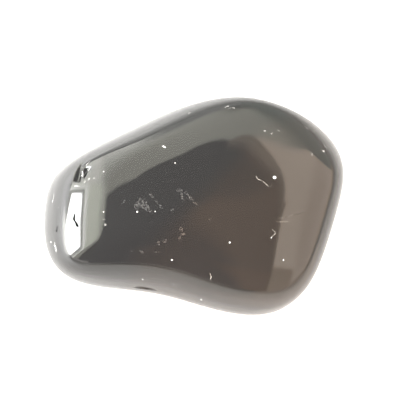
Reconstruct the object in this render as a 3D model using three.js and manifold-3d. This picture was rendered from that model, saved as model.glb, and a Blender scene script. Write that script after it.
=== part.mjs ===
// A tumbled smoky quartz stone, polished all over. Millimetres, +Z up.
// It lies on its flattest face, with its long side along X and its narrow end at -X.
// The origin is on the resting plane, below the middle of the bounding box.
import * as THREE from 'three';
import { mergeVertices } from 'three/addons/utils/BufferGeometryUtils.js';
import Module from 'manifold-3d';

const wasm = await Module();
wasm.setup();

// The heart is the point inside the stone that every distance below is measured from.
const crownHeight = 7.1;        // heart to the top of the stone
const baseDepth = 7.3;          // heart to the lowest point, before the resting facet
const baseShift = [0.08, 0.14]; // how much deeper the base gets towards +X and +Y, as a share
const restingCut = 0.55;        // how far the resting facet is worn up into the base
const crownRoundness = 2.36;    // 2 is an ellipse; more is flatter on top and steeper at the side
const cornerRoundness = 11.8;   // more is a tighter corner where two flanks meet
const crownSoftening = 0.6;     // the share of cornerRoundness lost between the waistline and the top

// The worn flanks round the side. heading is in degrees from +X towards +Y, lean is how far
// the flank looks upwards from level, and reach is its distance from the heart.
const flanks = [
  { name: 'left end', heading: 170.5, lean: 30.5, reach: 12.5 },
  { name: 'upper left side', heading: 116.5, lean: 14.5, reach: 9.7 },
  { name: 'far side', heading: 81.5, lean: -26.5, reach: 9.15 },
  { name: 'far right shoulder', heading: 38.5, lean: 9.5, reach: 15.2 },
  { name: 'right end', heading: -17, lean: -14.5, reach: 13.3 },
  { name: 'near right corner', heading: -62, lean: 3, reach: 14.15 },
  { name: 'near side', heading: -98.5, lean: 11, reach: 10.3 },
  { name: 'near left corner', heading: -143.5, lean: 10, reach: 16.0 },
];

// The shallow hollow in the near side, which gives the stone its waist.
const waist = { heading: -117, rise: 0, share: 0.16, spread: 0.58 };

// Edge chips: each is a corner of flat fracture faces, sunk by depth below the surface. The
// faces are the headings and rises of their normals.
const edgeChips = [
  { name: 'edge chip', heading: 170.8, rise: 13.2, depth: 0.42, faces: [[150, 84], [169, 25], [100, 30]] },
  { name: 'edge chip far part', heading: 164.8, rise: 16.5, depth: 0.4, faces: [[120, 80], [141, 25], [-115, 30]] },
];
const edgeChipSize = 2.5;       // more than the length of any chip

// Pits: each is the hollow that a ball of the given radius leaves when it is sunk by depth.
const pits = [
  { name: 'end dimple', heading: -168.5, rise: 15.7, radius: 1.2, depth: 0.06 },
  { name: 'end pit', heading: -163, rise: 3.3, radius: 0.7, depth: 0.09 },
  { name: 'near side flake', heading: -119.5, rise: -7, radius: 2.5, depth: 0.12 },
];

const gridDetail = 18;                       // subdivisions of each icosahedron edge
const ballDetail = 6;
const roughShape = new THREE.Vector3(15, 10.7, 7.1);   // half sizes, to spread the grid evenly

const stoneMaterial = new THREE.MeshStandardMaterial({
  name: 'smoky quartz',
  color: 0x4c4542,
  roughness: 0.05,
  metalness: 0,
});

function direction(heading, rise) {
  const turn = THREE.MathUtils.degToRad(heading);
  const lift = THREE.MathUtils.degToRad(rise);
  return new THREE.Vector3(
    Math.cos(turn) * Math.cos(lift),
    Math.sin(turn) * Math.cos(lift),
    Math.sin(lift),
  );
}

const flankNormals = flanks.map((flank) => direction(flank.heading, flank.lean));
const waistDirection = direction(waist.heading, waist.rise);

// Distance from the heart to the surface along the unit vector ray. Each face alone would put
// the surface at reach / cosine; the power sums join them with rounded edges.
function surfaceDistance(ray) {
  const corner = cornerRoundness * (1 - crownSoftening * ray.z ** 2);
  let flankSum = 0;
  flanks.forEach((flank, i) => {
    flankSum += (Math.max(ray.dot(flankNormals[i]), 0) / flank.reach) ** corner;
  });
  const side = flankSum ** (crownRoundness / corner);
  const shift = (baseShift[0] * ray.x + baseShift[1] * ray.y) * ray.z ** 2;
  const depth = baseDepth * (1 + shift);
  const cap = (Math.abs(ray.z) / (ray.z > 0 ? crownHeight : depth)) ** crownRoundness;
  const away = ray.distanceToSquared(waistDirection) / (2 * waist.spread ** 2);
  return (side + cap) ** (-1 / crownRoundness) * (1 - waist.share * Math.exp(-away));
}

function toManifold(geometry) {
  const bare = geometry.clone();
  bare.deleteAttribute('normal');
  bare.deleteAttribute('uv');
  const merged = mergeVertices(bare, 1e-5);
  return new wasm.Manifold(new wasm.Mesh({
    numProp: 3,
    vertProperties: new Float32Array(merged.attributes.position.array),
    triVerts: new Uint32Array(merged.index.array),
  }));
}

function toGeometry(solid) {
  const mesh = solid.getMesh();
  const geometry = new THREE.BufferGeometry();
  geometry.setAttribute('position', new THREE.BufferAttribute(mesh.vertProperties, 3));
  geometry.setIndex(new THREE.BufferAttribute(mesh.triVerts, 1));
  geometry.computeVertexNormals();
  return geometry;
}

// The whole pebble: an icosahedral grid stretched to the rough half sizes, then each point
// moved along its own ray to the surface.
function pebble() {
  const geometry = new THREE.IcosahedronGeometry(1, gridDetail);
  const points = geometry.attributes.position;
  const ray = new THREE.Vector3();
  for (let i = 0; i < points.count; i += 1) {
    ray.fromBufferAttribute(points, i).multiply(roughShape).normalize();
    ray.multiplyScalar(surfaceDistance(ray));
    points.setXYZ(i, ray.x, ray.y, ray.z);
  }
  return toManifold(geometry);
}

// What an edge chip takes away: the part of a ball round the chip's corner that lies outside
// all its fracture faces.
function chipPiece(chip) {
  const ray = direction(chip.heading, chip.rise);
  const corner = ray.multiplyScalar(surfaceDistance(ray) - chip.depth);
  const ball = new THREE.IcosahedronGeometry(edgeChipSize, ballDetail);
  ball.translate(corner.x, corner.y, corner.z);
  let piece = toManifold(ball);
  for (const [heading, rise] of chip.faces) {
    const normal = direction(heading, rise);
    piece = piece.trimByPlane(normal.toArray(), normal.dot(corner));
  }
  return piece;
}

function pitBall(pit) {
  const ray = direction(pit.heading, pit.rise);
  const middle = ray.clone().multiplyScalar(surfaceDistance(ray) + pit.radius - pit.depth);
  const ball = new THREE.IcosahedronGeometry(pit.radius, ballDetail);
  ball.translate(middle.x, middle.y, middle.z);
  return toManifold(ball);
}

// Everything below the resting plane.
function belowRest() {
  const block = new THREE.BoxGeometry(40, 40, 10);
  block.translate(0, 0, -baseDepth + restingCut - 5);
  return toManifold(block);
}

let stone = pebble();
for (const chip of edgeChips) {
  stone = stone.subtract(chipPiece(chip));
}
for (const pit of pits) {
  stone = stone.subtract(pitBall(pit));
}
stone = stone.subtract(belowRest());

const stoneGeometry = toGeometry(stone);
stoneGeometry.computeBoundingBox();
const middle = stoneGeometry.boundingBox.getCenter(new THREE.Vector3());
stoneGeometry.translate(-middle.x, -middle.y, baseDepth - restingCut);

const stoneMesh = new THREE.Mesh(stoneGeometry, stoneMaterial);
stoneMesh.name = 'smoky_quartz_stone';

const model = new THREE.Group();
model.add(stoneMesh);

export default model;
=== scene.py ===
from math import cos, pi, radians, sin

import bpy
import numpy as np
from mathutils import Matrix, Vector


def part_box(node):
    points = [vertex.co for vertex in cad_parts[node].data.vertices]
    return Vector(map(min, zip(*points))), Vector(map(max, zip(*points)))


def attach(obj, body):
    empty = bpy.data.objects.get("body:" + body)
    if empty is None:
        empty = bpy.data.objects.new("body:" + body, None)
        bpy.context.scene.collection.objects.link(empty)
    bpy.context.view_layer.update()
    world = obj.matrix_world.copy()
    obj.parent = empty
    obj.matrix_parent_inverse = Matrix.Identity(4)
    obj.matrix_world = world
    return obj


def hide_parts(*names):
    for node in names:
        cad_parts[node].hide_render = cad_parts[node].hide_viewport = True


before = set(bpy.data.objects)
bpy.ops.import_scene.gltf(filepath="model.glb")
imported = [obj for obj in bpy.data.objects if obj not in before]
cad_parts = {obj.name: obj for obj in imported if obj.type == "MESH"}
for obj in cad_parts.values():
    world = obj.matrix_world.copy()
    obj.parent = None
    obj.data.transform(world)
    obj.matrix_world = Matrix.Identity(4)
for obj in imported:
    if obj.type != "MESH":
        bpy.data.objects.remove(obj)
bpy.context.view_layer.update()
print("frame loaded:", sorted(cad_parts))

mm = 0.001
stoneNode = "smoky_quartz_stone"


class Wire:  # one output socket, which works in sums as a number does
    def __init__(self, board, socket):
        self.board = board
        self.socket = socket

    def maths(self, operation, *values):
        sockets = dict(enumerate(values))
        return self.board.node("ShaderNodeMath", {"operation": operation}, sockets).out(0)

    def __add__(self, other):
        return self.maths("ADD", self, other)

    def __mul__(self, other):
        return self.maths("MULTIPLY", self, other)

    def __sub__(self, other):
        return self.maths("SUBTRACT", self, other)

    def __rsub__(self, other):
        return self.maths("SUBTRACT", other, self)

    def __truediv__(self, other):
        return self.maths("DIVIDE", self, other)

    def __pow__(self, other):
        return self.maths("POWER", self, other)


class Placed:  # one node on a board
    def __init__(self, board, node):
        self.board = board
        self.node = node

    def out(self, name):
        return Wire(self.board, self.node.outputs[name])


class Board:  # a node tree that is wired up from nothing
    def __init__(self, tree):
        self.tree = tree
        tree.nodes.clear()

    def plug(self, socket, value):
        if isinstance(value, Wire):
            self.tree.links.new(value.socket, socket)
        else:
            socket.default_value = value

    # any node: its type, its settings, which are set first, and the values or wires of its sockets
    def node(self, kind, settings=None, sockets=None):
        made = self.tree.nodes.new(kind)
        for name, value in (settings or {}).items():
            setattr(made, name, value)
        for name, value in (sockets or {}).items():
            self.plug(made.inputs[name], value)
        return Placed(self, made)

    # colour a where the factor is 0, colour b where it is 1
    def mixColour(self, factor, a, b):
        return self.node("ShaderNodeMix", {"data_type": "RGBA"}, {0: factor, 6: a, 7: b}).out(2)

    # 0 below low, 1 above high, smooth between
    def rise(self, value, low, high):
        return self.node(
            "ShaderNodeMapRange",
            {"interpolation_type": "SMOOTHSTEP"},
            {"Value": value, "From Min": low, "From Max": high},
        ).out(0)

    # clouds from 0 to 1 with so many of them to a metre, and finer ones on top
    def clouds(self, place, perMetre, finer):
        sockets = {"Vector": place, "Scale": perMetre, "Detail": finer}
        return self.node("ShaderNodeTexNoise", None, sockets).out("Fac")


def opaque(colour):
    return (*colour, 1.0)


# The stone's surface, in millimetres round its heart, the point inside that every ray starts from. A
# heading turns from +X towards +Y and a rise tilts up from there, both in degrees.
stoneForm = {
    "crownHeight": 7.1,      # heart to the top, mm
    "baseDepth": 7.3,        # heart to the lowest point before the resting facet
    "baseShift": (0.08, 0.14, 0),   # how much deeper the base gets towards +X and +Y
    "restingCut": 0.55,      # how much of the base the resting facet takes away, mm
    "crownRoundness": 2.36,
    "cornerRoundness": 11.8,
    "crownSoftening": 0.6,   # how much rounder the corners get towards the top
    "flanks": [              # heading, lean (degrees), reach (mm)
        (170.5, 30.5, 12.5), (116.5, 14.5, 9.7), (81.5, -26.5, 9.15), (38.5, 9.5, 15.2),
        (-17, -14.5, 13.3), (-62, 3, 14.15), (-98.5, 11, 10.3), (-143.5, 10, 16.0),
    ],
    "waist": {"heading": -117, "rise": 0, "share": 0.16, "spread": 0.58},
    "gridSteps": 128,
    "roughShape": (15, 10.7, 7.1),   # half sizes that spread the rays evenly over the surface, mm
    "crowding": [                    # heading, rise, pull (0 to 1), spread
        (168, 17, 0.6, 0.16), (-172, 8, 0.25, 0.3), (-119, -4, 0.4, 0.15),
    ],
}

# a bite is what a corner of three planes takes away; its corner lies below the surface
bites = [
    {"name": "edge chip", "place": (170.8, 13.2), "depth": 0.42,
     "facets": [(150, 84), (169, 25), (100, 30)]},
    {"name": "edge chip's far part", "place": (164.8, 16.5), "depth": 0.4,
     "facets": [(120, 80), (141, 25), (-115, 30)]},
]

# a scoop is a shallow hollow: it reaches so far uphill, downhill and to each side of its deepest point
scoops = [
    {"name": "near side flake", "place": (-119.5, -3.5), "uphill": 0.5, "downhill": 0.25,
     "across": 1.2, "depth": 0.15, "within": 1.5},
]


def direction(heading, rise):
    turn, lift = radians(heading), radians(rise)
    return np.array([cos(turn) * cos(lift), sin(turn) * cos(lift), sin(lift)])


# distance from the heart = (side^c + (|z| / cap)^c)^(-1/c), where side is the power sum, with the
# corner roundness, of (ray . flank normal) / reach over the flanks, times one minus the waist's
# bell-shaped share; the corner roundness falls with the square of the ray's height
def surfaceDistance(ray):
    form = stoneForm
    corner = form["cornerRoundness"] * (1 - form["crownSoftening"] * ray[..., 2] ** 2)
    flankSum = 0
    for heading, lean, reach in form["flanks"]:
        facing = np.maximum(ray @ direction(heading, lean), 0)
        flankSum = flankSum + (facing / reach) ** corner
    crown = form["crownRoundness"]
    side = flankSum ** (crown / corner)
    depth = form["baseDepth"] * (1 + ray @ np.array(form["baseShift"]) * ray[..., 2] ** 2)
    cap = np.where(ray[..., 2] > 0, form["crownHeight"], depth)
    smooth = (side + (np.abs(ray[..., 2]) / cap) ** crown) ** (-1 / crown)
    waist = form["waist"]
    away = ((ray - direction(waist["heading"], waist["rise"])) ** 2).sum(-1)
    return smooth * (1 - waist["share"] * np.exp(-away / (2 * waist["spread"] ** 2)))


# the surface's outward normal at a ray: the slope of (length of x) - (distance along x's direction)
def surfaceNormal(ray):
    point = ray * surfaceDistance(ray)[..., None]
    step = 0.002    # mm
    slopes = []
    for axis in np.eye(3) * step:
        ends = [point + axis, point - axis]
        lengths = [np.linalg.norm(end, axis=-1) for end in ends]
        heights = [long - surfaceDistance(end / long[..., None]) for end, long in zip(ends, lengths)]
        slopes.append(heights[0] - heights[1])
    normal = np.stack(slopes, -1)
    return normal / np.linalg.norm(normal, axis=-1, keepdims=True)


# a plane through the corner meets a ray at (normal . corner) / (normal . ray); the bite starts at the
# last of its planes, and the surface is cut back to there
def bittenDistance(ray):
    distance = surfaceDistance(ray)
    grazing = 0.001    # a plane that a ray hardly meets is taken as never met
    for bite in bites:
        towards = direction(*bite["place"])
        corner = towards * (surfaceDistance(towards) - bite["depth"])
        start = np.zeros(len(ray))
        for heading, rise in bite["facets"]:
            facet = direction(heading, rise)
            facing = ray @ facet
            met = np.where(facing > grazing, (facet @ corner) / np.maximum(facing, grazing), np.inf)
            start = np.maximum(start, met)
        distance = np.minimum(distance, start)
    return distance


# each point sinks by depth * (1 - (along / length)^2 - (across / width)^2) where that is positive, and
# where it lies within so many mm of the surface's own plane there, so not through the far side
def scooped(points):
    for scoop in scoops:
        towards = direction(*scoop["place"])
        centre = towards * surfaceDistance(towards)
        normal = surfaceNormal(towards)
        level = np.cross((0, 0, 1), normal)
        level /= np.linalg.norm(level)
        uphill = np.cross(normal, level)
        sideways = np.cross(normal, uphill)
        offset = points - centre
        along, across = offset @ uphill, offset @ sideways
        length = np.where(along > 0, scoop["uphill"], scoop["downhill"])
        hollow = np.maximum(1 - (along / length) ** 2 - (across / scoop["across"]) ** 2, 0)
        hollow = np.where(np.abs(offset @ normal) < scoop["within"], hollow, 0)
        points = points - normal * (scoop["depth"] * hollow)[:, None]
    return points


# six square grids wrapped round a ball: on each, two equal angle steps from -45 to 45 degrees give
# a point (1, tan a, tan b) in one of six orientations; shared edge points are merged by their place
# on the whole-number lattice
def ballGrid(steps):
    index = np.arange(steps + 1)
    a, b = np.meshgrid(index, index, indexing="ij")
    edge = np.full_like(a, steps)
    places, quads = [], []
    for axis in range(3):
        for side in (1, -1):
            lattice = np.empty((*a.shape, 3), int)
            lattice[..., axis] = side * edge
            lattice[..., (axis + 1) % 3] = side * (2 * a - steps)
            lattice[..., (axis + 2) % 3] = 2 * b - steps
            first = sum(len(p) for p in places)
            number = first + np.arange(a.size).reshape(a.shape)
            corners = [number[:-1, :-1], number[1:, :-1], number[1:, 1:], number[:-1, 1:]]
            quads.append(np.stack(corners, -1).reshape(-1, 4))
            places.append(lattice.reshape(-1, 3))
    unique, inverse = np.unique(np.concatenate(places), axis=0, return_inverse=True)
    points = np.tan(unique / steps * pi / 4)
    points /= np.linalg.norm(points, axis=1, keepdims=True)
    return points, inverse.reshape(-1)[np.concatenate(quads)]


# rays drawn together round the marks: each ray moves by pull * (mark - ray) * a bell of its distance
def crowdedRays(ray):
    moved = ray.copy()
    for heading, rise, pull, spread in stoneForm["crowding"]:
        gap = direction(heading, rise) - ray
        bell = np.exp(-(gap ** 2).sum(1) / (2 * spread ** 2))
        moved += pull * gap * bell[:, None]
    return moved / np.linalg.norm(moved, axis=1, keepdims=True)


def meshObject(name, points, faces, material):
    mesh = bpy.data.meshes.new(name)
    mesh.from_pydata([], [], [])
    mesh.vertices.add(len(points))
    mesh.vertices.foreach_set("co", np.asarray(points, np.float32).ravel())
    sides = faces.shape[1]
    mesh.loops.add(faces.size)
    mesh.loops.foreach_set("vertex_index", faces.astype(np.int32).ravel())
    mesh.polygons.add(len(faces))
    mesh.polygons.foreach_set("loop_start", np.arange(0, faces.size, sides, dtype=np.int32))
    mesh.update(calc_edges=True)
    mesh.validate()
    mesh.polygons.foreach_set("use_smooth", np.ones(len(faces), bool))
    mesh.materials.append(material)
    made = bpy.data.objects.new(name, mesh)
    bpy.context.scene.collection.objects.link(made)
    return made


def buildStone(material):
    ball, quads = ballGrid(stoneForm["gridSteps"])
    ray = ball * np.array(stoneForm["roughShape"])
    ray = crowdedRays(ray / np.linalg.norm(ray, axis=1, keepdims=True))
    points = scooped(ray * bittenDistance(ray)[:, None])
    restingHeight = stoneForm["restingCut"] - stoneForm["baseDepth"]
    points[:, 2] = np.maximum(points[:, 2], restingHeight) - restingHeight
    low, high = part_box(stoneNode)
    middle = (points.max(0) + points.min(0)) / 2
    heart = np.array([
        (low.x + high.x) / 2 / mm - middle[0], (low.y + high.y) / 2 / mm - middle[1], -restingHeight,
    ])
    points[:, :2] += heart[:2]
    print("stone from", np.round(points.min(0), 3), "to", np.round(points.max(0), 3))
    return meshObject("polishedStone", points * mm, quads, material), heart


# Marks on and in the stone, among them painted highlights and painted shade. A place is a heading and a
# rise, then a length and a width (mm), then the compass heading that the length runs to. Lift is how far
# over the surface its middle lies, in mm.
marks = {
    "dustSpecks": {
        "finish": "dust", "lift": 0.03, "thickness": 0.07, "unevenness": 0.12,
        "places": [
            (8.5, 39, 0.32, 0.3, 0), (-168, 28.5, 0.12, 0.1, 0), (-158.5, 46, 0.16, 0.13, 0),
            (-149, 56.5, 0.11, 0.09, 0), (-55.5, 44.5, 0.16, 0.14, 0), (-107, 33.5, 0.16, 0.14, 0),
            (-85, 2, 0.15, 0.13, 0), (122, 48, 0.45, 0.13, -40), (123, 64.5, 0.11, 0.1, 0),
            (-122, 10, 0.13, 0.11, 0), (165.5, 27, 0.11, 0.1, 0), (-37.5, 25.5, 0.13, 0.11, 0),
            (-32, 34.8, 0.13, 0.08, 70), (-102.5, 12, 0.1, 0.09, 0),
        ],
    },
    "bruisesAndScuffGlints": {
        "finish": "crush", "lift": 0.0, "thickness": 0.02, "unevenness": 0.4,
        "places": [
            (65.5, 29.5, 0.5, 0.12, -10), (67.5, 30, 0.3, 0.1, 30), (40, 32, 0.35, 0.14, -20),
            (37, 30.5, 0.3, 0.16, 40), (36.5, 27.5, 0.35, 0.12, -40), (31.5, 16.5, 0.4, 0.16, -40),
            (29, 14.5, 0.25, 0.14, 60), (19, 21.5, 0.22, 0.35, 0), (19.5, 16.5, 0.22, 0.5, 70),
            (-163.5, 28, 0.22, 0.16, 0), (-160, 28, 0.3, 0.22, 60),
            # the three whitish patches by the edge chip on this line are painted glints of scuffs; the rest
            # of the list are real whitish bruises
            (170.5, 20.5, 0.4, 0.14, 40), (170, 23, 0.25, 0.12, 0), (172, 18.5, 0.4, 0.12, 35),
            (69, 28.5, 0.5, 0.1, 20), (91.9, 26.1, 0.4, 0.1, 30), (52.9, 16, 0.6, 0.1, -10),
            (21.2, 14.4, 0.7, 0.1, -60), (13.1, 12.1, 0.5, 0.1, -75), (-85.3, 2.6, 0.3, 0.2, 0),
        ],
    },
    # painted highlights: white patches that stand for glints of the window on tiny facets at the stone's
    # ends and round the edge chip
    "paintedGlints": {
        "finish": "glint", "lift": 0.0, "thickness": 0.05, "unevenness": 0.3,
        "places": [
            (177.5, 1.5, 0.95, 0.14, 82), (-162, 3, 0.95, 0.26, -75), (-165, 0.5, 0.2, 0.2, 0),
            (161.5, 16.5, 0.6, 0.07, 47), (167.4, 15.7, 0.75, 0.14, -85), (174, 15, 0.75, 0.1, -10),
            (-177.5, 6, 0.12, 0.12, 0),
        ],
    },
    # painted shade and dark reflections: flat near-black patches in a crescent dimple at the left end and
    # on a facet of the edge chip, and two small dark specks; none is cut into the stone
    "paintedHollowShade": {
        "finish": "hollow", "lift": 0.0, "thickness": 0.02, "unevenness": 0.1,
        "places": [
            (168.2, 18, 0.7, 0.42, 60),
            (-170.4, 14.7, 0.85, 0.26, 85), (-166.9, 15.5, 0.85, 0.28, -55),
            (-168.9, 5.5, 0.3, 0.2, 80), (-167.8, 5.2, 0.3, 0.2, 80),
        ],
    },
    "veils": {
        "finish": "veil", "lift": -0.07, "thickness": 0.02, "unevenness": 0.35,
        "places": [
            (-165, 50.5, 1.3, 0.9, -30), (-164.5, 47, 0.8, 0.6, 60), (-157, 52.5, 1, 0.55, -40),
            (-168.5, 52, 0.5, 0.14, 30), (-171.5, 57.5, 0.8, 0.16, -50), (-160.5, 60, 0.4, 0.18, -50),
            (-151, 61.5, 0.5, 0.26, -40), (-171, 79.5, 0.7, 0.4, -20), (-140.5, 79.5, 0.8, 0.35, -70),
            (-146.5, 83.5, 0.4, 0.3, 0), (-101.5, 82, 0.9, 0.3, -45), (-80, 77.5, 0.6, 0.2, -45),
            (-134, 67, 0.5, 0.25, 20), (-106, 57, 0.5, 0.3, -60), (-102.5, 53.5, 0.45, 0.3, 20),
            (-105, 50, 0.4, 0.25, 45), (-123, 42, 0.5, 0.3, 90), (-118.5, 45, 0.6, 0.3, 30),
            (-120.5, 35.5, 0.4, 0.2, 0), (-136.5, 29.5, 0.35, 0.2, -60), (-130.5, 31.5, 0.5, 0.25, -50),
            (-60.5, 62.5, 0.5, 0.25, -50), (-171.5, 39.5, 0.6, 0.2, 30),
        ],
    },
}
markGrid = {"rings": 7, "spokes": 16, "outlineWaves": (2, 3, 4, 5, 6), "firstSeed": 11}

# lint lies along a path of headings and rises
lint = {
    "curledFibre": {
        "radius": 0.02, "finish": "fibre",
        "path": [(-32.5, 34.5), (-31, 35), (-28.5, 34.5), (-27.5, 35.5), (-27.5, 36.5), (-26.5, 36)],
    },
    "bentFibre": {
        "radius": 0.018, "finish": "fibre",
        "path": [(13, 47.1), (9.8, 47.1), (8.2, 46.6), (6.6, 44.6), (3.4, 43.2), (2.1, 42.4), (2.6, 40.9)],
    },
    "longFibre": {
        "radius": 0.035, "finish": "faintFibre",
        "path": [(-9.4, 27.1), (-12, 29), (-15, 32.5), (-17.4, 34.3), (-18.9, 36.2), (-19.7, 37.5)],
    },
    "sideFibre": {
        "radius": 0.03, "finish": "faintFibre",
        "path": [(-18.2, 31.7), (-20.1, 34.1), (-21.6, 36.8), (-20.5, 38.5)],
    },
    "shortFibre": {
        "radius": 0.025, "finish": "fibre",
        "path": [(-78, 28.5), (-77.5, 26), (-78.5, 24)],
    },
}
# smoothing is how many stations each way the moving mean takes in; tip is the share of the length
# at which the thread starts and ends
lintGrid = {"stations": 120, "spokes": 8, "smoothing": 5, "tip": 0.01}


# the finished skin of the stone along a set of rays
def skin(ray):
    return scooped(ray * bittenDistance(ray)[:, None])


# rows of spokes points between two end points: two fans of triangles and two triangles to each cell
def closedRows(rows, spokes):
    row, spoke = np.meshgrid(np.arange(rows - 1), np.arange(spokes), indexing="ij")
    following = (spoke + 1) % spokes
    a, b = 1 + row * spokes + spoke, 1 + row * spokes + following
    c, d = a + spokes, b + spokes
    ends = np.arange(spokes)
    turned = (ends + 1) % spokes
    last = 1 + (rows - 1) * spokes
    return np.concatenate([
        np.stack([np.zeros_like(ends), 1 + ends, 1 + turned], -1),
        np.stack([a, c, b], -1).reshape(-1, 3),
        np.stack([b, c, d], -1).reshape(-1, 3),
        np.stack([last + ends, np.full_like(ends, last + spokes), last + turned], -1),
    ])


# a squashed ball wrapped on the stone: at polar angle t and turn v it lies sin(t) of its uneven
# outline away from its middle along the surface, and lift + cos(t) * half its thickness over it
def wrappedPatch(kind, place, seed):
    heading, rise, long, wide, compass = place
    towards = direction(heading, rise)
    centre = skin(towards[None])[0]
    normal = surfaceNormal(towards)
    flat = direction(compass, 0)
    ahead = flat - normal * (flat @ normal)
    ahead /= np.linalg.norm(ahead)
    sideways = np.cross(normal, ahead)
    polar = np.arange(1, markGrid["rings"] + 1) * pi / (markGrid["rings"] + 1)
    turn = np.arange(markGrid["spokes"]) * 2 * pi / markGrid["spokes"]
    chance = np.random.default_rng(seed)
    waves = [
        chance.normal() / count * np.cos(count * turn + chance.uniform(0, 2 * pi))
        for count in markGrid["outlineWaves"]
    ]
    outline = 1 + kind["unevenness"] * sum(waves)
    along = np.sin(polar)[:, None] * (long / 2 * np.cos(turn) * outline)
    across = np.sin(polar)[:, None] * (wide / 2 * np.sin(turn) * outline)
    spread = along.reshape(-1, 1) * ahead + across.reshape(-1, 1) * sideways
    level = np.repeat(np.cos(polar), markGrid["spokes"])
    spread = np.concatenate([[[0, 0, 0]], spread, [[0, 0, 0]]])
    level = np.concatenate([[1], level, [-1]])
    ray = centre + spread
    ray /= np.linalg.norm(ray, axis=1, keepdims=True)
    return skin(ray) + normal * (kind["lift"] + level * kind["thickness"] / 2)[:, None]


def buildMarks(name, kind, heart, material):
    faces = closedRows(markGrid["rings"], markGrid["spokes"])
    seeded = enumerate(kind["places"], markGrid["firstSeed"])
    pieces = [wrappedPatch(kind, place, seed) for seed, place in seeded]
    numbers = np.arange(len(pieces))[:, None, None] * len(pieces[0])
    print(name, len(pieces), "patches")
    points = np.concatenate(pieces) + heart
    return meshObject(name, points * mm, (faces + numbers).reshape(-1, 3), material)


# a round thread: its path is the joined places, smoothed by a moving mean, and its radius shrinks
# to nothing at both ends as the square root of sin(pi * share of the length)
def buildThread(name, thread, heart, material):
    stations = lintGrid["stations"]
    places = np.array(thread["path"], float)
    share = np.linspace(0, 1, stations)
    knots = np.linspace(0, 1, len(places))
    headings, rises = [np.interp(share, knots, column) for column in places.T]
    reach = lintGrid["smoothing"]
    mean = np.ones(2 * reach + 1) / (2 * reach + 1)
    headings, rises = [np.convolve(np.pad(v, reach, "edge"), mean, "valid") for v in (headings, rises)]
    ray = np.array([direction(heading, rise) for heading, rise in zip(headings, rises)])
    middle = skin(ray) + ray * thread["radius"]
    along = np.gradient(middle, axis=0)
    along /= np.linalg.norm(along, axis=1, keepdims=True)
    side = np.cross(ray, along)
    side /= np.linalg.norm(side, axis=1, keepdims=True)
    over = np.cross(along, side)
    turn = np.arange(lintGrid["spokes"]) * 2 * pi / lintGrid["spokes"]
    tip = lintGrid["tip"]
    radius = thread["radius"] * np.sqrt(np.sin(pi * np.linspace(tip, 1 - tip, stations)))
    rings = middle[:, None] + radius[:, None, None] * (
        side[:, None] * np.cos(turn)[None, :, None] + over[:, None] * np.sin(turn)[None, :, None]
    )
    points = np.concatenate([middle[:1], rings.reshape(-1, 3), middle[-1:]]) + heart
    print(name, "thread")
    return meshObject(name, points * mm, closedRows(stations, lintGrid["spokes"]), material)


# clouds are counted to a metre, and a range says where in a cloud a change starts and where it is full
quartzFinish = {
    "ior": 1.544,
    "polish": (0.014, 0.034),    # roughness where the skin is sharpest and where it is dullest
    "polishClouds": 160.0,
    "polishRange": (0.35, 0.65),
    "waves": 0.0004,             # mm between the hollows and the crests of the polished skin
    "waveClouds": 300.0,
    "greyHaze": (0.5, 0.5, 0.5),
    "brownHaze": (0.66, 0.545, 0.47),
    "hazeClouds": 140.0,
    "brownSide": {"heading": -44, "from": -0.5, "to": 2.5, "unevenness": 2.0},   # mm from the middle
    "clearness": 0.97,
    "smokeDensity": 2000.0,      # to a metre
    "smokeColour": (0.25, 0.21, 0.18),
}


def quartzMaterial():
    material = bpy.data.materials.new("smokyQuartz")
    material.use_nodes = True
    board = Board(material.node_tree)
    place = board.node("ShaderNodeTexCoord").out("Object")
    parts = board.node("ShaderNodeSeparateXYZ", None, {0: place})
    x, y = parts.out(0) * (1 / mm), parts.out(1) * (1 / mm)
    side = quartzFinish["brownSide"]
    along = x * cos(radians(side["heading"])) + y * sin(radians(side["heading"]))
    along = along + (board.clouds(place, quartzFinish["hazeClouds"], 3.0) - 0.5) * side["unevenness"]
    haze = board.mixColour(
        board.rise(along, side["from"], side["to"]),
        opaque(quartzFinish["greyHaze"]),
        opaque(quartzFinish["brownHaze"]),
    )
    wear = board.clouds(place, quartzFinish["polishClouds"], 1.0)
    sharp, dull = quartzFinish["polish"]
    skinWaves = board.node("ShaderNodeBump", None, {
        "Height": board.clouds(place, quartzFinish["waveClouds"], 0.0),
        "Distance": quartzFinish["waves"] * mm,
    })
    shader = board.node("ShaderNodeBsdfPrincipled", None, {
        "Base Color": haze,
        "Normal": skinWaves.out("Normal"),
        "Roughness": board.rise(wear, *quartzFinish["polishRange"]) * (dull - sharp) + sharp,
        "IOR": quartzFinish["ior"],
        "Transmission Weight": quartzFinish["clearness"],
    })
    smoke = board.node("ShaderNodeVolumeAbsorption", None, {
        "Color": opaque(quartzFinish["smokeColour"]),
        "Density": quartzFinish["smokeDensity"],
    })
    board.node("ShaderNodeOutputMaterial", None, {
        "Surface": shader.out("BSDF"),
        "Volume": smoke.out("Volume"),
    })
    return material


# Colours of the marks. Cover is the share of the surface that the mark hides, and where it isn't
# full it comes and goes in clouds of the given size in mm.
markFinishes = {
    "dust": {"colour": (0.86, 0.85, 0.82), "cover": 1.0, "clouds": 0.2},
    # painted highlight: the white of the patches that stand for glints of the window
    "glint": {"colour": (0.8, 0.8, 0.79), "cover": 0.9, "clouds": 0.1},
    # whitish bruises, which by the edge chip also stand for painted glints of scuffs
    "crush": {"colour": (0.8, 0.79, 0.76), "cover": 0.35, "clouds": 0.12},
    # painted shade: the near-black of the flat patches that stand for shade and dark reflections in hollows
    "hollow": {"colour": (0.012, 0.012, 0.012), "cover": 1.0, "clouds": 0.3, "gloss": 0.0},
    "fibre": {"colour": (0.6, 0.55, 0.49), "cover": 0.75, "clouds": 0.4},
    "faintFibre": {"colour": (0.3, 0.26, 0.22), "cover": 0.5, "clouds": 0.4},
    "veil": {"colour": (0.66, 0.67, 0.68), "cover": 0.45, "clouds": 0.22},
}
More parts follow.
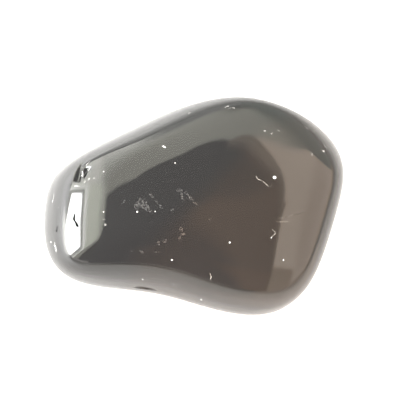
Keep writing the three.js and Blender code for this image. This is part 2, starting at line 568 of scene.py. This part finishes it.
# what all the marks share: dullShare is how much of the colour is left in its darkest places
markLook = {
    "roughness": 0.7, "gloss": 0.5, "dullShare": 0.75, "paleRange": (0.35, 0.6), "coverRange": (0.38, 0.62),
}


def markMaterial(name, finish):
    material = bpy.data.materials.new(name)
    material.use_nodes = True
    board = Board(material.node_tree)
    place = board.node("ShaderNodeTexCoord").out("Object")
    clouds = board.clouds(place, 1 / (finish["clouds"] * mm), 3.0)
    pale = opaque(finish["colour"])
    dull = opaque(tuple(markLook["dullShare"] * part for part in finish["colour"]))
    sockets = {
        "Base Color": board.mixColour(board.rise(clouds, *markLook["paleRange"]), dull, pale),
        "Roughness": markLook["roughness"],
        "Specular IOR Level": finish.get("gloss", markLook["gloss"]),
    }
    if finish["cover"] < 1:
        sockets["Alpha"] = board.rise(clouds, *markLook["coverRange"]) * finish["cover"]
    shader = board.node("ShaderNodeBsdfPrincipled", None, sockets)
    board.node("ShaderNodeOutputMaterial", None, {"Surface": shader.out("BSDF")})
    return material


# The floor's glow is painted light and shade: a bright pool of window light to the left (-X) and
# far off there, and darker painted shade by the stone's near foot, to its right, on its near side and
# far away. A patch of floor lies inside straight sides: each has a heading, its distance from the
# origin and half the width of its soft edge, in mm.
floorFinishAndPaintedLight = {
    "halfWidth": 600,
    "drop": 0.05,            # mm that it lies below the stone, so that the two faces stay apart
    "roughness": 0.6,
    "colour": (0.3, 0.3, 0.3),
    # painted shade: the floor's own colour darkens far from the stone
    "farShadeColour": (0.03, 0.03, 0.03),
    "farFrom": (60, 120),    # mm from the middle, where the far colour starts and where it is full
    "glow": (2.2, 2.2, 2.16),
    "patches": [
        {"name": "right side", "colour": (1.7, 1.65, 1.55), "sides": [(180, -15, 30)]},
        {"name": "far right", "colour": (1.6, 1.4, 1.25), "sides": [(180, -75, 25)]},
        {"name": "near side", "colour": (1.45, 1.4, 1.34), "sides": [(90, 0, 25)]},
        {"name": "near right", "colour": (2.3, 2.0, 1.75), "sides": [(90, -12, 9), (180, 0, 9)]},
        {"name": "painted foot shadow", "colour": (1.1, 1.03, 0.97),
         "sides": [(90, -8, 4), (270, 20, 6), (0, 12, 8), (180, 8, 5)]},
        {"name": "painted window light", "colour": (5.0, 5.0, 5.0), "sides": [(0, -45, 35), (-90, 35, 25)]},
        {"name": "painted sill light", "colour": (13, 13, 12.5),
         "sides": [(0, -100, 40), (77, 0, 8), (-73, 0, 15)]},
        {"name": "far side", "colour": (1.5, 1.5, 1.45), "sides": [(255, -44.5, 5)]},
        {"name": "far corner", "colour": (1.3, 1.3, 1.25), "sides": [(228, -48, 8)]},
        {"name": "far near side", "colour": (0.6, 0.56, 0.53),
         "sides": [(90, -118, 45), (0, -15, 15), (180, 62, 12)]},
    ],
}


# how far inside straight sides a place is, from 0 to 1: for each side, the place's distance along
# the side's heading is compared with the side's own distance
def insideSides(board, card, east, north):
    inside = 1.0
    for heading, distance, soft in card["sides"]:
        past = east * cos(radians(heading)) + north * sin(radians(heading))
        inside = (1 - board.rise(past, distance - soft, distance + soft)) * inside
    return inside


def floorMaterial():
    material = bpy.data.materials.new("paleFloor")
    material.use_nodes = True
    board = Board(material.node_tree)
    place = board.node("ShaderNodeTexCoord").out("Object")
    parts = board.node("ShaderNodeSeparateXYZ", None, {0: place})
    x, y = parts.out(0) * (1 / mm), parts.out(1) * (1 / mm)
    # painted light and shade: the glow brightens to the left as a pool of window light and dims by the
    # stone's near foot, to its right and far away
    glow = opaque(floorFinishAndPaintedLight["glow"])
    for patch in floorFinishAndPaintedLight["patches"]:
        glow = board.mixColour(insideSides(board, patch, x, y), glow, opaque(patch["colour"]))
    # painted far shade: the floor's colour darkens from 60 to 120 mm away
    away = (x * x + y * y) ** 0.5
    paint = board.mixColour(
        board.rise(away, *floorFinishAndPaintedLight["farFrom"]),
        opaque(floorFinishAndPaintedLight["colour"]),
        opaque(floorFinishAndPaintedLight["farShadeColour"]),
    )
    shader = board.node("ShaderNodeBsdfPrincipled", None, {
        "Base Color": paint,
        "Roughness": floorFinishAndPaintedLight["roughness"],
        "Specular IOR Level": 0.0,
        "Emission Color": glow,
        "Emission Strength": 1.0,
    })
    board.node("ShaderNodeOutputMaterial", None, {"Surface": shader.out("BSDF")})
    return material


# The room round the stone. Places are in degrees from straight overhead: the first number east (+X),
# the second north (+Y). A card is a patch inside straight sides: each has a heading, its distance from
# overhead and half the width of its soft edge. Below says at which tilt from overhead a card starts
# and where it is full.
room = {
    "wall": (3.1, 3.05, 2.7),
    "seen": (1.3, 1.3, 1.3),         # what the camera sees past the floor
    "fillLeft": (4.1, 4.1, 4.0),     # what lights dull faces, from the left and from the right
    "fillRight": (4.15, 3.9, 3.7),
    "fillEdge": 0.8,                 # sideways share of a direction at which a fill colour is full
    "cards": [
        {"name": "far shade", "colour": (0.6, 0.6, 0.6), "sides": [(-30, 0, 22), (192, 0, 10)],
         "below": (62, 84)},
        {"name": "haze", "colour": (5.2, 5.2, 4.8), "sides": [(-25, -61, 10)]},
        {"name": "far edge", "colour": (1.7, 1.7, 1.65), "sides": [(-38, 0, 8), (202.5, 0, 5)],
         "below": (77, 87)},
        {"name": "far right", "colour": (1.45, 1.55, 1.45), "sides": [(230, -62, 12)]},
        {"name": "right wall", "colour": (4.5, 3.85, 3.25),
         "sides": [(121.5, 17.7, 1.2), (68.6, 63.8, 1.5), (180, -10, 2)]},
        {"name": "right wall end", "colour": (3.65, 3.1, 2.65),
         "sides": [(68.6, 63.8, 1.5), (180, -50, 9)]},
        {"name": "right foot", "colour": (2.3, 1.9, 1.5), "sides": [(-150, 0, 8), (120, 0, 8)],
         "below": (84, 91)},
        {"name": "desk", "colour": (2.6, 2.15, 1.75), "sides": [(180, 1, 5), (90, -47, 5), (0, 49, 6)]},
        {"name": "low brown", "colour": (1.5, 1.12, 0.9),
         "sides": [(108.4, 0, 2), (151.9, 39.9, 2), (-13.5, 28.5, 2)]},
        {"name": "side shade", "colour": (0.7, 0.68, 0.68),
         "sides": [(0, -38, 12), (151.9, 39.9, 2), (90, -5, 3)]},
        {"name": "left foot", "colour": (2.4, 2.3, 2.2), "sides": [(0, -31, 5), (90, -40, 5)],
         "below": (83, 88)},
        {"name": "brown fringe", "colour": (2.05, 1.8, 1.55),
         "sides": [(85, 37.5, 1.5), (10, 31.2, 1.5), (-13.5, 28.5, 1.5), (180, 6, 5)]},
        {"name": "brown middle", "colour": (1.2, 1.0, 0.88),
         "sides": [(75, 33.5, 4.5), (10, 29.5, 3.5), (-13.5, 28, 3), (142.8, 40.7, 1.5), (180, 49.7, 1)]},
        {"name": "grey middle", "colour": (0.75, 0.75, 0.76),
         "sides": [(-45, -4, 6), (75, 33.5, 4.5), (10, 29.5, 3.5), (142.8, 40.7, 1.5), (180, 49.7, 1)]},
        {"name": "dark left", "colour": (0.72, 0.7, 0.72),
         "sides": [(0, -9, 5), (113, 34.9, 1.5), (180, 49.7, 1)]},
        {"name": "dark far left", "colour": (0.72, 0.7, 0.72),
         "sides": [(20, 15, 4), (142.8, 40.7, 1.5), (59.5, 33.6, 1.5), (270, -25, 6)]},
        {"name": "desk end", "colour": (1.4, 1.1, 0.93),
         "sides": [(180, 14, 6), (90, -56, 6), (10, 30, 2), (-13.5, 28.5, 1.5)]},
        {"name": "curtain haze", "colour": (7.2, 7.2, 6.6),
         "sides": [(0, -53, 4), (90, 70, 8), (-90, -22, 8)]},
        {"name": "curtain", "colour": (7.0, 7.2, 6.2),
         "sides": [(0, -52, 4), (71, 4.9, 3), (-43.5, -32.5, 1)]},
        {"name": "window glow", "colour": (9.8, 9.8, 9.2),
         "sides": [(0, -63.5, 2), (71, 4.9, 3), (-43.5, -32.5, 1)]},
        {"name": "window frame", "colour": (4.6, 4.6, 4.3),
         "sides": [(0, -66.8, 0.7), (71, 2, 1), (-44, -35, 1)]},
        {"name": "window", "colour": (28, 28, 28),
         "sides": [(0, -69.2, 0.8), (69.5, -2.3, 1), (-47, -38.5, 1), (146.4, 83.4, 1)]},
    ],
}


def insideCard(board, card, east, north, tilt):
    inside = insideSides(board, card, east, north)
    if "below" in card:
        inside = inside * board.rise(tilt, *card["below"])
    return inside


def buildRoom():
    world = bpy.data.worlds.new("room")
    bpy.context.scene.world = world
    world.use_nodes = True
    board = Board(world.node_tree)
    towards = board.node("ShaderNodeTexCoord").out("Generated")
    parts = board.node("ShaderNodeSeparateXYZ", None, {0: towards})
    x, y, z = parts.out(0), parts.out(1), parts.out(2)
    tilt = z.maths("ARCCOSINE", z) * (180 / pi)
    level = x.maths("SQRT", x * x + y * y) + 1e-6    # never nothing, straight overhead
    east = tilt * x / level
    north = tilt * y / level
    colour = opaque(room["wall"])
    for card in room["cards"]:
        inside = insideCard(board, card, east, north, tilt)
        colour = board.mixColour(inside, colour, opaque(card["colour"]))
    path = board.node("ShaderNodeLightPath")
    sideways = board.rise(x, -room["fillEdge"], room["fillEdge"])
    fill = board.mixColour(sideways, opaque(room["fillLeft"]), opaque(room["fillRight"]))
    colour = board.mixColour(path.out("Is Diffuse Ray"), colour, fill)
    colour = board.mixColour(path.out("Is Camera Ray"), colour, opaque(room["seen"]))
    light = board.node("ShaderNodeBackground", None, {"Color": colour})
    board.node("ShaderNodeOutputWorld", None, {"Surface": light.out(0)})


def buildFloor():
    half = floorFinishAndPaintedLight["halfWidth"]
    points = np.array([(x, y, -floorFinishAndPaintedLight["drop"]) for x, y in
                       ((-half, -half), (half, -half), (half, half), (-half, half))])
    floor = meshObject("floor", points * mm, np.array([[0, 1, 2, 3]]), floorMaterial())


cameraPlace = {
    "elevation": 76,           # degrees above the floor
    "distance": 133.3,         # mm to the point it looks at
    "lens": 120,
    "sensorWidth": 36,
    "nearest": 5,              # mm, where the view starts
    "aim": (0.7, 0.55, 0),     # mm from the stone's heart
}


def buildCamera(heart):
    data = bpy.data.cameras.new("camera")
    data.lens = cameraPlace["lens"]
    data.sensor_width = cameraPlace["sensorWidth"]
    data.clip_start = cameraPlace["nearest"] * mm
    camera = bpy.data.objects.new("camera", data)
    bpy.context.scene.collection.objects.link(camera)
    up = radians(cameraPlace["elevation"])
    back = Vector((0, -cos(up), sin(up)))
    aim = Vector(heart) + Vector(cameraPlace["aim"])
    camera.location = (aim + back * cameraPlace["distance"]) * mm
    camera.rotation_euler = back.to_track_quat("Z", "Y").to_euler()
    bpy.context.scene.camera = camera


stone, heart = buildStone(quartzMaterial())
buildCamera(heart)
buildRoom()
buildFloor()
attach(stone, "root")
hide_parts(stoneNode)
finishes = {name: markMaterial(name, finish) for name, finish in markFinishes.items()}
details = [buildMarks(name, kind, heart, finishes[kind["finish"]]) for name, kind in marks.items()]
details += [buildThread(name, thread, heart, finishes[thread["finish"]]) for name, thread in lint.items()]
for detail in details:
    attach(detail, "root")
bpy.context.scene.view_settings.view_transform = "Standard"
